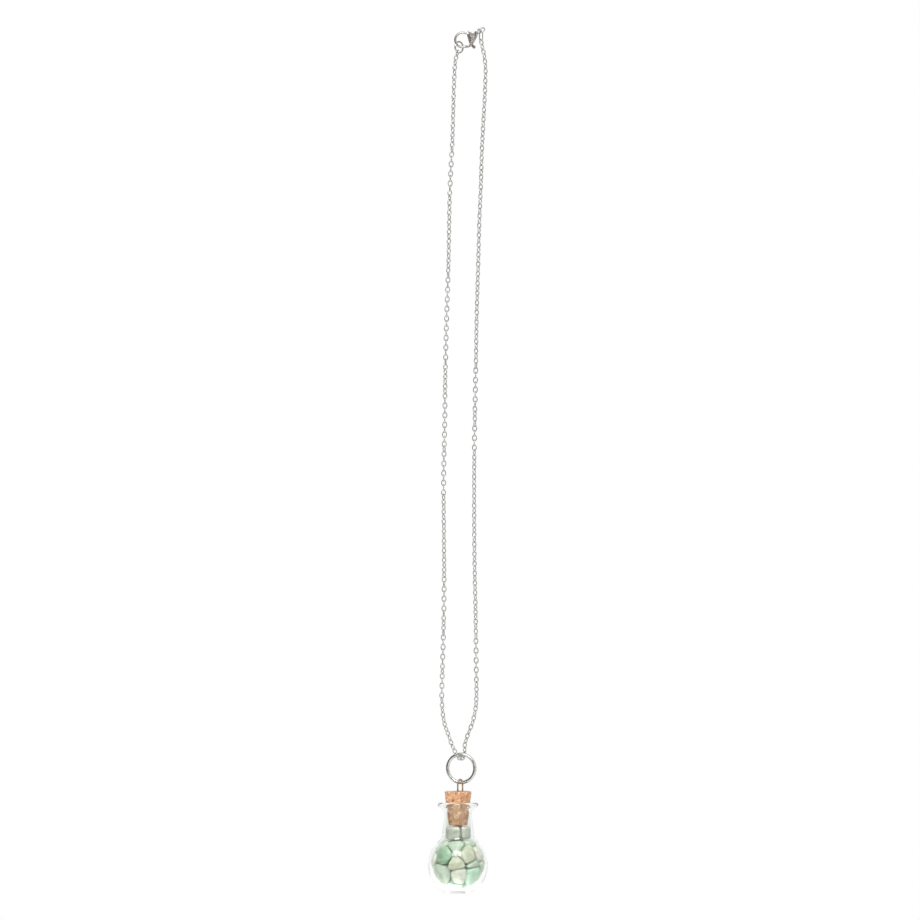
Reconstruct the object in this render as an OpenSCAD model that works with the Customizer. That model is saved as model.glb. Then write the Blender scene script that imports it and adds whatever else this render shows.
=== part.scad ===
// Bottle pendant on a long cable chain: a corked glass bottle of stone chips.
// The necklace hangs in the XZ plane. The origin is the inside top of the
// clasp's hook, where a peg holds it. The front is seen along +Y.

/* [Clasp] */
// Inner radius of the hook's round opening
hook_r = 2.15; // [1.9:0.05:2.4]
// Diameter of the hook's wire
hook_wire = 0.8; // [0.7:0.05:0.9]
// Thickness of the clasp's body, front to back
clasp_t = 2.4; // [2.2:0.1:3]
// Width of the slot that the lever lies in
slot_w = 1.0; // [0.9:0.05:1.2]
// Thickness of the lever
lever_t = 0.8; // [0.6:0.05:0.85]
// Diameter of the lever's thumb tab
tab_d = 1.1; // [0.9:0.05:1.2]
// Diameter of the pin
pin_d = 0.54; // [0.4:0.02:0.6]

/* [Rings] */
// Outer diameter of the pendant ring
ring_d = 11.1; // [10.5:0.1:11.5]
// Wire of the pendant ring
ring_wire = 1.25; // [1:0.05:1.3]
// Outer diameter of the jump ring at the end of the left strand
end_ring_d = 4.5; // [4.3:0.1:4.8]
// Wire of that jump ring
end_ring_wire = 0.6; // [0.5:0.05:0.65]
// Outer diameter of the small jump ring in the clasp's eye
clasp_ring_d = 2.5; // [2.4:0.05:2.6]
// Wire of the small jump ring and of the long link
small_wire = 0.4; // [0.3:0.02:0.42]

/* [Chain] */
// Diameter of the round space that the cable chain fills
chain_d = 1.5; // [1.3:0.1:1.6]
// Length of the long link
long_link_l = 3.7; // [3.4:0.1:4]
// Width of the long link
long_link_w = 1.75; // [1.6:0.05:1.9]

/* [Cork and eye] */
// Diameter of the cork's top
cork_top_d = 9.8; // [9.6:0.1:10]
// Diameter of the cork's bottom
cork_bottom_d = 6.8; // [6.6:0.1:7]
// Length of the cork
cork_l = 12.1; // [11:0.1:12.5]
// Width of the eye, between the centres of its two legs
eye_w = 2.5; // [2.4:0.05:2.8]
// Wire of the eye
eye_wire = 0.6; // [0.5:0.05:0.65]
// Depth of the eye's legs in the cork
leg_depth = 6; // [4:0.5:8]

/* [Bottle] */
// Radius of the bulb
bulb_r = 10.4; // [10.2:0.1:10.6]
// Height of the bottle
bottle_h = 31.8; // [31.5:0.1:32.2]
// Wall of the bulb
wall = 0.95; // [0.8:0.05:1.1]
// Height of the floor inside the bulb
floor_h = 1.9; // [1.5:0.1:2.2]
// Radius of the neck at its narrowest
neck_r = 4.95; // [4.9:0.05:5.1]
// Radius of the neck at the bulb
neck_low_r = 5.65; // [5.5:0.05:5.8]
// Radius of the bore
bore_r = 4.2; // [4.16:0.01:4.24]
// Radius of the rolled lip
lip_r = 7.15; // [7:0.05:7.3]
// Thickness of the rolled lip
lip_t = 1.75; // [1.5:0.05:1.9]

/* [Stones] */
// Gap between two chips
stone_gap = 0.16; // [0.12:0.02:0.3]
// Sharpness of the chips' edges
edge_power = 11; // [7:1:14]

/* [Hidden] */

$fn = 48;
slack = 0.03;
steel = "#b9b9b6";
dark_steel = "#8f8b88";
glass = "#dfe9e6";
cork_tan = "#c49a74";
wire_brown = "#a08b74";

// Places on the clasp: centre of the hook, pin, thumb tab and eye
hook_c = [0, 0, -hook_r];
pin_c = [3.08, 0, -3.78];
tab_c = [4.03, 0, -4.62];
eye_c = [5.78, 0, 0.91];
eye_r = 0.75;
eye_ring_wire = 0.5;
// Length of the lever from its pin to its tip, and the tip's clearance in the hook
lever_l = 3.95;
tip_gap = 0.08;

// Radii of the rings' own centre lines
hook_line_r = hook_r + hook_wire / 2;
ring_r = (ring_d - ring_wire) / 2;
end_ring_r = (end_ring_d - end_ring_wire) / 2;
clasp_ring_r = (clasp_ring_d - small_wire) / 2;
long_link_r = (long_link_w - small_wire) / 2;

// Places and turns of the rings, seen from above
ring_c = [-0.46, 0, -257.1];
ring_turn = -15;
end_ring_c = [-1.2, 0, -4.7];
end_ring_turn = 46;
// The small ring leans out of the clasp's plane, its centre up and to the right
clasp_ring_lift = 23;
clasp_ring_lean = -45;
clasp_ring_side = [cos(clasp_ring_lift), 0, sin(clasp_ring_lift)];
clasp_ring_up = [-sin(clasp_ring_lift) * cos(clasp_ring_lean), -sin(clasp_ring_lean),
    cos(clasp_ring_lift) * cos(clasp_ring_lean)];
clasp_ring_c = eye_c + clasp_ring_r * clasp_ring_side;
clasp_ring_low = clasp_ring_c
    - clasp_ring_r * unit(clasp_ring_side[2] * clasp_ring_side + clasp_ring_up[2] * clasp_ring_up);
long_link_turn = 35;
long_link_gap = 0.05;
long_link_top = clasp_ring_low + [0, 0, small_wire + long_link_gap];

// Places on the pendant
bottle_foot = [-1.56, 0, -300.8];
eye_gap = 0.1;
staple_shift = -0.35;
staple_at = ring_c + staple_shift * [cos(ring_turn), sin(ring_turn), 0];
eye_turn = 48;
eye_line_top = ring_c[2] - ring_r + (ring_wire + eye_wire) / 2 + eye_gap;
cork_bottom_h = 23.7;
cork_top_z = bottle_foot[2] + cork_bottom_h + cork_l;

// Centres of the bulb's lower and upper curves, above the foot
bulb_low_h = 9.3;
bulb_high_h = 10.4;
neck_low_h = 20.6;
neck_top_h = 27.6;
corner_r = 2.2;

// A wire ring of line radius r round the Y axis, then turned
module wire_ring(r, wire, turn) {
    rotate(turn)
        rotate([90, 0, 0])
            rotate_extrude() translate([r, 0]) circle(d = wire);
}

// A straight wire from p, of length l along +Z
module wire_bar(p, l, wire) {
    translate(p) cylinder(d = wire, h = l);
}

// An outline in the XZ plane given the thickness t about the plane
module plate(t) {
    translate([0, t / 2, 0]) rotate([90, 0, 0]) linear_extrude(t) children();
}

function flat(p) = [p[0], p[2]];

// The clasp's cheeks with the notch at the top, from the hook's foot to the eye
CHEEK = [[1.75, 1.1], [2.2, 0.3], [2.42, -0.6], [2.65, -1.5], [2.85, -2.5], [2.3, -3.9],
         [1.2, -4.05], [1.3, -4.95], [2.3, -4.75], [3.1, -4.35], [3.75, -3.45], [5.05, -1.3],
         [5.4, -0.2], [5.3, 1.2], [4.8, 1.4], [3.7, 0.35]];
// Where the slot is open between the cheeks
SLOT = [[1.7, 2.0], [4.6, 2.0], [4.6, -0.9], [5.1, -2.4], [5.1, -6.0], [2.75, -6.0],
        [1.9, -3.7], [1.7, -3.0]];
// The lever's bar from its tip to the pin, before the tip is cut to its arc
BAR = [[1.3, 0.6], [1.88, -1.5], [2.15, -2.6], [2.55, -3.6], [3.4, -3.4], [3.02, -2.2],
       [2.75, -1.2], [2.4, 0.2], [2.2, 1.0]];

module clasp_body() color(steel) {
    difference() {
        union() {
            translate(hook_c) rotate([90, 0, 0]) rotate([0, 0, 57])
                rotate_extrude(angle = 247) translate([hook_line_r, 0]) circle(d = hook_wire);
            plate(clasp_t) polygon(CHEEK);
            translate(eye_c) wire_ring(eye_r, eye_ring_wire, [0, 0, 0]);
        }
        plate(slot_w) polygon(SLOT);
        translate(pin_c) rotate([90, 0, 0])
            cylinder(d = pin_d + 2 * slack, h = clasp_t + 2, center = true);
        translate(eye_c) rotate([90, 0, 0])
            cylinder(r = eye_r - eye_ring_wire / 2, h = clasp_t + 2, center = true);
        // The hook's tip is cut to the arc that the lever's tip swings on
        intersection() {
            translate(pin_c) rotate([90, 0, 0])
                cylinder(r = lever_l + tip_gap, h = clasp_t + 2, center = true);
            translate([0.6, -clasp_t, -1.2]) cube([1.3, 2 * clasp_t, 3]);
        }
    }
}

module clasp_lever() color(dark_steel) {
    difference() {
        plate(lever_t) union() {
            intersection() {
                polygon(BAR);
                translate(flat(pin_c)) circle(r = lever_l);
            }
            translate(flat(pin_c)) circle(r = 0.58);
            polygon([[2.9, -4.2], [3.45, -3.5], [4.25, -4.3], [3.7, -4.9]]);
        }
        translate(pin_c) rotate([90, 0, 0])
            cylinder(d = pin_d + 2 * slack, h = clasp_t, center = true);
    }
    translate(tab_c) rotate([90, 0, 0]) cylinder(d = tab_d, h = 1.7, center = true);
}

module clasp_pin() color(steel)
    translate(pin_c) rotate([90, 0, 0]) cylinder(d = pin_d, h = clasp_t, center = true);

module clasp_ring() color(steel)
    translate(clasp_ring_c) wire_ring(clasp_ring_r, small_wire, [clasp_ring_lean, -clasp_ring_lift, 0]);

module long_link() color(steel) {
    side = long_link_l - long_link_w;
    low = [0, 0, -side - long_link_r];
    translate(long_link_top) rotate([0, 0, long_link_turn]) {
        translate([0, 0, -long_link_r]) rotate([90, 0, 0])
            rotate_extrude(angle = 180) translate([long_link_r, 0]) circle(d = small_wire);
        translate(low) rotate([-90, 0, 0])
            rotate_extrude(angle = 180) translate([long_link_r, 0]) circle(d = small_wire);
        for (x = [-long_link_r, long_link_r]) wire_bar(low + [x, 0, 0], side, small_wire);
    }
}

module end_ring() color(steel)
    translate(end_ring_c) wire_ring(end_ring_r, end_ring_wire, [0, 0, end_ring_turn]);

module pendant_ring() color(steel)
    translate(ring_c) wire_ring(ring_r, ring_wire, [0, 0, ring_turn]);

module cork_eye() color(wire_brown) {
    arch_z = eye_line_top - eye_w / 2;
    leg_l = arch_z - cork_top_z + leg_depth;
    translate([staple_at[0], staple_at[1], arch_z]) rotate([0, 0, eye_turn]) {
        rotate([90, 0, 0])
            rotate_extrude(angle = 180) translate([eye_w / 2, 0]) circle(d = eye_wire);
        for (x = [-eye_w / 2, eye_w / 2]) wire_bar([x, 0, -leg_l], leg_l, eye_wire);
    }
}

module cork() color(cork_tan) {
    difference() {
        translate(bottle_foot + [0, 0, cork_bottom_h])
            cylinder(d1 = cork_bottom_d, d2 = cork_top_d, h = cork_l);
        translate([staple_at[0], staple_at[1], cork_top_z - leg_depth - slack]) rotate([0, 0, eye_turn])
            for (x = [-eye_w / 2, eye_w / 2])
                wire_bar([x, 0, 0], leg_depth + 1, eye_wire + 2 * slack);
    }
}

// Points on an arc round c, from angle a to angle b
function arc(c, r, a, b, n) = [for (i = [0:n]) let (t = a + (b - a) * i / n) c + r * [cos(t), sin(t)]];

// Height at which the bulb's upper curve has the radius x
function bulb_top_at(x, r, h) = h + sqrt(r * r - x * x);

module bottle() color(glass) translate(bottle_foot) {
    inner_r = bulb_r - wall;
    lip_h = bottle_h - lip_t / 2;
    foot_r = 3.9;
    shoulder_r = neck_low_r + 0.75;
    inner_shoulder = neck_low_r - 0.85;
    mouth_curve = 2;
    rotate_extrude() polygon(concat(
        [[0, 0], [foot_r, 0]],
        arc([0, bulb_low_h], bulb_r, -62, 0, 8),
        arc([0, bulb_high_h], bulb_r, 0, acos(shoulder_r / bulb_r), 8),
        [[neck_low_r + 0.2, bulb_top_at(shoulder_r, bulb_r, bulb_high_h) + 0.9],
         [neck_low_r, neck_low_h],
         [(neck_low_r + neck_r) / 2 - 0.12, (neck_low_h + neck_top_h) / 2],
         [neck_r, neck_top_h]],
        arc([neck_r + 1.6, neck_top_h + 0.4], 1.6, 180, 115, 4),
        arc([lip_r - lip_t / 2, lip_h], lip_t / 2, -60, 90, 6),
        arc([bore_r + mouth_curve, bottle_h - mouth_curve], mouth_curve, 90, 180, 6),
        [[bore_r, neck_top_h], [inner_shoulder, neck_low_h]],
        arc([0, bulb_high_h], inner_r, acos(inner_shoulder / inner_r),
            -asin((bulb_high_h - floor_h) / inner_r), 14),
        [[0, floor_h]]));
}

// The chips: centre from the middle of the bulb's hollow in mm (x to the right,
// y away from the front, z up), size, and number of the colour
STONES = [
    [-4.4, -5.2,  2.8, 2.5, 0], [-5.4, -4.2, -3.2, 3.5, 1], [ 4.9, -4.6, -3.6, 3.3, 2],
    [ 0.4, -6.6, -3.4, 2.3, 3], [-0.3, -6.9,  0.2, 1.9, 4], [ 6.3, -3.0,  3.2, 2.5, 3],
    [-4.8, -1.6,  5.9, 2.3, 1], [ 3.2, -5.6,  3.0, 2.6, 4], [-0.5, -4.4,  5.6, 2.3, 1],
    [-7.5, -1.0,  0.6, 2.2, 3], [ 7.4, -2.0, -0.9, 2.2, 1], [-0.6, -3.4, -6.6, 2.3, 2],
    [ 3.6, -1.8,  6.2, 2.1, 1], [-0.3,  0.4,  7.0, 1.8, 1], [ 4.4, -5.0, -0.1, 2.0, 1],
    [-6.4,  2.8,  2.9, 2.6, 1], [-5.4,  3.4, -3.9, 2.9, 2], [-1.5,  6.6, -1.0, 2.9, 1],
    [ 3.6,  5.6, -4.0, 2.7, 2], [ 6.4,  3.2,  2.4, 2.7, 1], [ 6.6,  2.0, -3.4, 2.5, 3],
    [ 1.4,  4.6,  4.4, 2.7, 1], [-2.6,  4.0,  4.8, 2.0, 2], [ 0.0,  0.2, -0.4, 3.0, 1],
    [ 0.6,  1.2, -6.0, 2.5, 1], [-3.8, -0.2, -5.4, 2.0, 3], [ 3.9,  0.4,  2.6, 2.0, 1],
    [-3.4,  0.0,  2.6, 2.1, 1], [-1.7, -1.8, 10.4, 2.8, 4], [ 2.4, -0.9, 10.7, 2.3, 1],
    [ 0.1,  2.4, 10.5, 2.3, 1]];
STONE_COLOURS = ["#5fa878", "#a9cfae", "#86cdb0", "#d9d2bb", "#c3c493"];
cuts = 5;
lat_rows = 8;
lon_points = 14;
stone_top = 8.0;
// Radius of the neck's hollow that the chips under the cork keep to
neck_room_r = bore_r + 0.15;

function place(i) = [STONES[i][0], STONES[i][1], STONES[i][2]];
function size(i) = STONES[i][3];
function unit(v) = v / norm(v);

// Distance from chip i to its side of the border with chip j, the larger chip taking more
function share(i, j) = let (d = norm(place(j) - place(i)))
    (d * d + size(i) * size(i) - size(j) * size(j)) / (2 * d) - stone_gap / 2;

// Whether chip i lies in the neck, above the heap in the bulb
function in_neck(i) = place(i)[2] > stone_top;

// Heights between which chip i lies: floor and top of the heap, or the heap and the cork
function bottom(i) = in_neck(i) ? stone_top + stone_gap : floor_h - bulb_high_h + stone_gap;
function top(i) = in_neck(i) ? cork_bottom_h - bulb_high_h - 2 * stone_gap : stone_top;

// The planes round chip i, as direction and distance: its neighbours, its own
// broken faces, and what lies under and over it
function borders(i) = let (turns = rands(-1, 1, 3 * cuts, 31 + i), depths = rands(1.1, 1.5, cuts, 71 + i))
    concat(
        [for (j = [0:len(STONES) - 1]) if (j != i && norm(place(j) - place(i)) < 12)
            [unit(place(j) - place(i)), share(i, j)]],
        [for (k = [0:cuts - 1])
            [unit([turns[3 * k], turns[3 * k + 1], turns[3 * k + 2]]), size(i) * depths[k]]],
        [[[0, 0, -1], place(i)[2] - bottom(i)], [[0, 0, 1], top(i) - place(i)[2]]]);

// One over the distance along u from p to a round wall of radius r
function wall_near(p, u, r) = let (b = u * p, a = max(u * u, 0.0001))
    a / (sqrt(b * b + a * (r * r - p * p)) - b);

// The same for chip i in direction u: to the neck's wall, or to the bulb's
function near(i, u) = in_neck(i)
    ? wall_near([place(i)[0], place(i)[1]], [u[0], u[1]], neck_room_r)
    : wall_near(place(i), u, bulb_r - wall - stone_gap);

// A soft least distance: flat faces with the edges tumbled round
function reach(i, planes, u) = pow(
    [for (q = planes) pow(max(0, u * q[0]) / q[1], edge_power)] * [for (q = planes) 1]
    + pow(near(i, u), edge_power), -1 / edge_power);

function direction(lat, lon) = [cos(lat) * cos(lon), cos(lat) * sin(lon), sin(lat)];

// Triangles of a closed skin of rows, from a first point through the rows to a last point
function skin(rows, n) = let (last = 1 + rows * n) concat(
    [for (k = [0:n - 1]) [0, 1 + k, 1 + (k + 1) % n]],
    [for (r = [0:rows - 2], k = [0:n - 1]) let (a = 1 + r * n + k, b = 1 + r * n + (k + 1) % n)
        each [[a, a + n, b + n], [a, b + n, b]]],
    [for (k = [0:n - 1]) [last, 1 + (rows - 1) * n + (k + 1) % n, 1 + (rows - 1) * n + k]]);

module stone(i) {
    planes = borders(i);
    step = 180 / (lat_rows + 1);
    directions = concat([[0, 0, -1]],
        [for (r = [1:lat_rows], k = [0:lon_points - 1])
            direction(-90 + r * step, k * 360 / lon_points)],
        [[0, 0, 1]]);
    color(STONE_COLOURS[STONES[i][4]])
        translate(bottle_foot + [0, 0, bulb_high_h] + place(i))
            polyhedron([for (u = directions) reach(i, planes, u) * u], skin(lat_rows, lon_points));
}

// The chain's route: down the left strand, round the pendant ring's wire from
// front to back, and up the right strand
ROUTE = [
    [-1.9, -0.5, -7.1], [-2.5, -0.3, -9.5], [-2.8, -0.1, -14.0], [-3.1, 0.0, -22.5], [-3.6, 0.0, -39.0],
    [-4.2, 0.0, -50.0], [-4.6, 0.0, -62.0], [-4.9, 0.0, -81.0], [-5.5, 0.0, -98.0],
    [-6.0, 0.0, -119.0], [-6.2, 0.0, -136.0], [-6.6, 0.0, -156.0], [-6.5, 0.0, -174.0],
    [-6.4, 0.0, -190.0], [-6.6, 0.0, -207.0], [-7.0, 0.0, -222.0], [-7.2, -0.2, -233.9],
    [-6.4, -0.6, -240.9], [-5.0, -1.1, -245.1], [-3.7, -1.5, -248.8], [-2.7, -1.8, -251.0],
    [-1.9, -1.6, -252.6], [-1.2, -0.9, -253.5], [-0.5, 0.0, -253.8], [0.2, 0.9, -253.5],
    [0.7, 1.6, -252.4], [0.8, 1.8, -250.8], [0.8, 1.6, -248.8], [2.0, 1.1, -245.1],
    [3.6, 0.6, -240.9], [4.5, 0.2, -236.7], [4.9, 0.1, -232.0], [4.8, 0.0, -220.0],
    [4.6, 0.0, -203.0], [4.2, 0.0, -182.0], [4.1, 0.0, -157.0], [4.3, 0.0, -136.0],
    [4.7, 0.0, -116.0], [5.0, 0.0, -98.0], [5.5, 0.0, -81.0], [5.9, 0.0, -66.0],
    [6.4, 0.0, -54.0], [6.8, 0.0, -41.0], [7.3, 0.0, -31.0], [7.8, 0.0, -22.0],
    [8.1, -0.1, -13.0], [7.9, -0.2, -9.9], [7.5, -0.4, -6.7], [6.9, -0.5, -4.6], [6.5, -0.6, -2.9]];
chain_sides = 8;
// Length of a stretch that gets no ring between its ends
short_stretch = 9;

// A point a part t of the way from b to c, on the smooth curve through a, b, c, d
function between(a, b, c, d, t) = 0.5 * (2 * b + (c - a) * t
    + (2 * a - 5 * b + 4 * c - d) * t * t + (3 * b - a - 3 * c + d) * t * t * t);

function smooth(route) = let (n = len(route)) concat(
    [for (i = [0:n - 2])
        let (a = route[max(i - 1, 0)], b = route[i], c = route[i + 1], d = route[min(i + 2, n - 1)],
             steps = norm(c - b) < short_stretch ? 1 : 2)
        each [for (k = [0:steps - 1]) between(a, b, c, d, k / steps)]],
    [route[n - 1]]);

function tangents(line) = let (n = len(line))
    [for (i = [0:n - 1]) unit(line[min(i + 1, n - 1)] - line[max(i - 1, 0)])];

// A normal at each point, carried along the line without twist
function normals(tang, i = 0, found = []) = i == len(tang) ? found :
    let (before = i == 0 ? [1, 0, 0] : found[i - 1],
         next = unit(before - (before * tang[i]) * tang[i]))
    normals(tang, i + 1, concat(found, [next]));

module chain() color(steel) {
    line = smooth(ROUTE);
    tang = tangents(line);
    norms = normals(tang);
    last = len(line) - 1;
    points = [for (i = [0:last], k = [0:chain_sides - 1])
        let (a = 360 * k / chain_sides, side = cross(tang[i], norms[i]))
        line[i] + chain_d / 2 * (cos(a) * norms[i] + sin(a) * side)];
    polyhedron(concat([line[0]], points, [line[last]]), skin(last + 1, chain_sides));
}

clasp_body();
clasp_lever();
clasp_pin();
clasp_ring();
long_link();
end_ring();
chain();
pendant_ring();
cork_eye();
cork();
bottle();
stone(0);  // stone_01
stone(1);  // stone_02
stone(2);  // stone_03
stone(3);  // stone_04
stone(4);  // stone_05
stone(5);  // stone_06
stone(6);  // stone_07
stone(7);  // stone_08
stone(8);  // stone_09
stone(9);  // stone_10
stone(10);  // stone_11
stone(11);  // stone_12
stone(12);  // stone_13
stone(13);  // stone_14
stone(14);  // stone_15
stone(15);  // stone_16
stone(16);  // stone_17
stone(17);  // stone_18
stone(18);  // stone_19
stone(19);  // stone_20
stone(20);  // stone_21
stone(21);  // stone_22
stone(22);  // stone_23
stone(23);  // stone_24
stone(24);  // stone_25
stone(25);  // stone_26
stone(26);  // stone_27
stone(27);  // stone_28
stone(28);  // stone_29
stone(29);  // stone_30
stone(30);  // stone_31
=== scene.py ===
"""A bottle pendant on a long cable chain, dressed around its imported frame.

The necklace hangs in the XZ plane from the clasp's hook, and its front is seen
along +Y. Sizes are in millimetres until finished() brings a mesh to metres.
"""
import logging
import math
import random
from dataclasses import dataclass
from enum import Enum
from typing import Callable, Iterable, Sequence, TypeVar

import bpy
from mathutils import Matrix, Vector


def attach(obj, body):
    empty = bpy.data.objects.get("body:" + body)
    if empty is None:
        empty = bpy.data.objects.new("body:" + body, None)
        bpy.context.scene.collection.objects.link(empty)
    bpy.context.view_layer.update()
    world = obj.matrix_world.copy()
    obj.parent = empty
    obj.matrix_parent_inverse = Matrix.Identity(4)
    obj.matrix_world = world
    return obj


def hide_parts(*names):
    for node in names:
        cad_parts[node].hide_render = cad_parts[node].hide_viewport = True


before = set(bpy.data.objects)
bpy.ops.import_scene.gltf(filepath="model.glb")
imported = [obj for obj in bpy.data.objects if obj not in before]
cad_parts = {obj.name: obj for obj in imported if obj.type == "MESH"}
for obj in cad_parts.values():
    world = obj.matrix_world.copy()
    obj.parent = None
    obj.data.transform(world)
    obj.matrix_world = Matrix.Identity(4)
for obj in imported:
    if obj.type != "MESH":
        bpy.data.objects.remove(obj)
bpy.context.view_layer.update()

LOG = logging.getLogger("bottle_pendant")
MM = 0.001
# Vertices closer than this are one, in millimetres
MERGE = 0.002
# In degrees: bevels round the edges that are sharper than SHARP, and no edge is sharper than FLAT
SHARP = 60
FLAT = 180
EIGHTH = 360 / 8
ORIGIN = (0, 0, 0)
# The middle of the bottle's foot
FOOT = (-1.56, 0, -300.8)

Piece = bpy.types.Object
Point = tuple[float, float, float]
Profile = list[tuple[float, float]]
Curve = tuple[tuple[float, float], ...]
Links = dict[str | int, bpy.types.NodeSocket]
Stops = Sequence[tuple[float, str]]
Value = TypeVar("Value", float, Vector)


class Body(Enum):
    """The moving bodies that the pieces ride on."""

    NECKLACE = "necklace"
    LEVER = "lever"
    RING = "ring"
    PENDANT = "pendant"


# Small tools


def linear(code: str) -> tuple[float, float, float, float]:
    """Turns an sRGB hex colour into Blender's linear colour.

    Args:
        code: The colour as "#rrggbb".

    Returns:
        Red, green, blue and an alpha of 1.
    """
    parts = [int(code[i:i + 2], 16) / 255 for i in (1, 3, 5)]
    red, green, blue = (p / 12.92 if p <= 0.04045 else ((p + 0.055) / 1.055) ** 2.4 for p in parts)
    return red, green, blue, 1.0


def add_node(tree: bpy.types.NodeTree, kind: str, settings: dict | None = None, links: Links | None = None,
             stops: Stops = ()) -> bpy.types.Node:
    """Adds one node to a tree.

    Args:
        tree: The tree that gets the node.
        kind: The node's type, without the "ShaderNode" in front.
        settings: Values for the node's properties or, where it has no such property, its inputs.
        links: Sockets of other nodes that feed its inputs, by input name or number.
        stops: The places and colours of a colour ramp.

    Returns:
        The new node.
    """
    node = tree.nodes.new("ShaderNode" + kind)
    for name, value in (settings or {}).items():
        if isinstance(name, str) and hasattr(node, name):
            setattr(node, name, value)
    for name, value in (settings or {}).items():
        if not (isinstance(name, str) and hasattr(node, name)):
            node.inputs[name].default_value = value
    for i, (spot, code) in enumerate(stops):
        elements = node.color_ramp.elements
        element = elements[i] if i < len(elements) else elements.new(spot)
        element.position, element.color = spot, linear(code)
    for name, source in (links or {}).items():
        tree.links.new(source, node.inputs[name])
    return node


def new_material(name: str) -> tuple[bpy.types.Material, bpy.types.NodeTree]:
    """Makes a material with an empty node tree.

    Args:
        name: The material's name.

    Returns:
        The material and its tree.
    """
    material = bpy.data.materials.new(name)
    material.use_nodes = True
    material.node_tree.nodes.clear()
    return material, material.node_tree


def pattern_place(tree: bpy.types.NodeTree, stretch: Point = (1, 1, 1),
                  turn: Point = ORIGIN) -> bpy.types.NodeSocket:
    """Object coordinates in millimetres, stretched and turned.

    Args:
        tree: The tree that gets the nodes.
        stretch: How many times finer the pattern is along X, Y and Z.
        turn: The pattern's turn in degrees.

    Returns:
        The coordinates.
    """
    coordinates = add_node(tree, "TexCoord")
    return add_node(tree, "Mapping",
                    {"Scale": [s / MM for s in stretch], "Rotation": [math.radians(t) for t in turn]},
                    {"Vector": coordinates.outputs["Object"]}).outputs["Vector"]


def fresh() -> None:
    """Goes to object mode with nothing selected."""
    active = bpy.context.view_layer.objects.active
    if active is not None and active.mode != "OBJECT":
        bpy.ops.object.mode_set(mode="OBJECT")
    bpy.ops.object.select_all(action="DESELECT")


def pick(piece: Piece, *others: Piece) -> None:
    """Selects pieces alone and makes the first of them the active one.

    Args:
        piece: The piece to work on.
        others: Pieces that are selected with it.
    """
    fresh()
    for part in (piece, *others):
        part.select_set(True)
    bpy.context.view_layer.objects.active = piece


def edit(piece: Piece) -> None:
    """Opens a piece alone in edit mode, with nothing selected in it.

    Args:
        piece: The piece.
    """
    pick(piece)
    bpy.ops.object.mode_set(mode="EDIT")
    bpy.ops.mesh.select_mode(type="VERT")
    bpy.ops.mesh.select_all(action="DESELECT")


def select_where(piece: Piece, test: Callable[[Vector], bool]) -> None:
    """Selects, in edit mode, the vertices whose place passes a test.

    Args:
        piece: The piece that is being edited.
        test: Says of a vertex's place whether it is selected.
    """
    bpy.ops.object.mode_set(mode="OBJECT")
    for vertex in piece.data.vertices:
        vertex.select = test(vertex.co)
    bpy.ops.object.mode_set(mode="EDIT")


def close_edit() -> None:
    """Merges what meets, turns all faces outwards and leaves edit mode."""
    bpy.ops.mesh.select_all(action="SELECT")
    bpy.ops.mesh.remove_doubles(threshold=MERGE)
    bpy.ops.mesh.normals_make_consistent(inside=False)
    bpy.ops.object.mode_set(mode="OBJECT")


def modify(piece: Piece, kind: str, **settings: object) -> None:
    """Adds a modifier and applies it.

    Args:
        piece: The piece.
        kind: The modifier's type.
        settings: Values for its properties.
    """
    pick(piece)
    modifier = piece.modifiers.new(kind.lower(), kind)
    for name, value in settings.items():
        setattr(modifier, name, value)
    bpy.ops.object.modifier_apply(modifier=modifier.name)


def round_edges(piece: Piece, width: float, segments: int) -> None:
    """Bevels a piece's sharp edges."""
    modify(piece, "BEVEL", width=width, segments=segments, limit_method="ANGLE",
           angle_limit=math.radians(SHARP))


def smooth(piece: Piece, rounds: int, group: str = "") -> None:
    """Smooths a piece so many times over, within a vertex group where one is named."""
    modify(piece, "SMOOTH", factor=0.5, iterations=rounds, vertex_group=group)


def tumble(piece: Piece, voxel: float, rounds: int) -> None:
    """Remeshes a piece evenly and smooths it, which rounds its edges all over."""
    modify(piece, "REMESH", mode="VOXEL", voxel_size=voxel)
    smooth(piece, rounds)


def place(piece: Piece, centre: Sequence[float] = ORIGIN, turn: Sequence[float] = ORIGIN,
          scale: float = 1) -> None:
    """Turns a piece, scales it and moves it, and applies all three to its mesh.

    Args:
        piece: The piece.
        centre: Where its own origin goes.
        turn: Degrees about X, then Y, then Z.
        scale: Its scale.
    """
    pick(piece)
    piece.location = centre
    piece.rotation_euler = [math.radians(t) for t in turn]
    piece.scale = (scale,) * 3
    bpy.ops.object.transform_apply(location=True, rotation=True, scale=True)


def new_object(name: str, data: bpy.types.ID) -> bpy.types.Object:
    """Makes an object and puts it into the scene.

    Args:
        name: The object's name.
        data: Its mesh, camera or light.

    Returns:
        The object.
    """
    thing = bpy.data.objects.new(name, data)
    bpy.context.scene.collection.objects.link(thing)
    return thing


def copy_of_node(node: str) -> Piece:
    """A merged copy of a CAD node in millimetres, as a new piece.

    Args:
        node: The node's name.

    Returns:
        The copy, without a material.
    """
    piece = new_object(node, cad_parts[node].data.copy())
    piece.data.materials.clear()
    place(piece, scale=1 / MM)
    edit(piece)
    close_edit()
    return piece


def finished(piece: Piece, name: str, body: Body, nodes: Iterable[str],
             material: bpy.types.Material, crease: float = 40) -> Piece:
    """Brings a piece to metres, dresses it and ties it to the frame.

    Args:
        piece: The piece in millimetres.
        name: Its plain name.
        body: The body it rides on.
        nodes: The CAD nodes it stands for.
        material: Its finish.
        crease: The least angle in degrees that stays a sharp edge.

    Returns:
        The piece.
    """
    piece.name = piece.data.name = name
    place(piece, scale=MM)
    bpy.ops.object.shade_smooth_by_angle(angle=math.radians(crease))
    piece.data.materials.clear()
    piece.data.materials.append(material)
    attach(piece, body.value)
    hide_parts(*nodes)
    LOG.info("%s: %d faces on %s", name, len(piece.data.polygons), body.value)
    return piece


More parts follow.
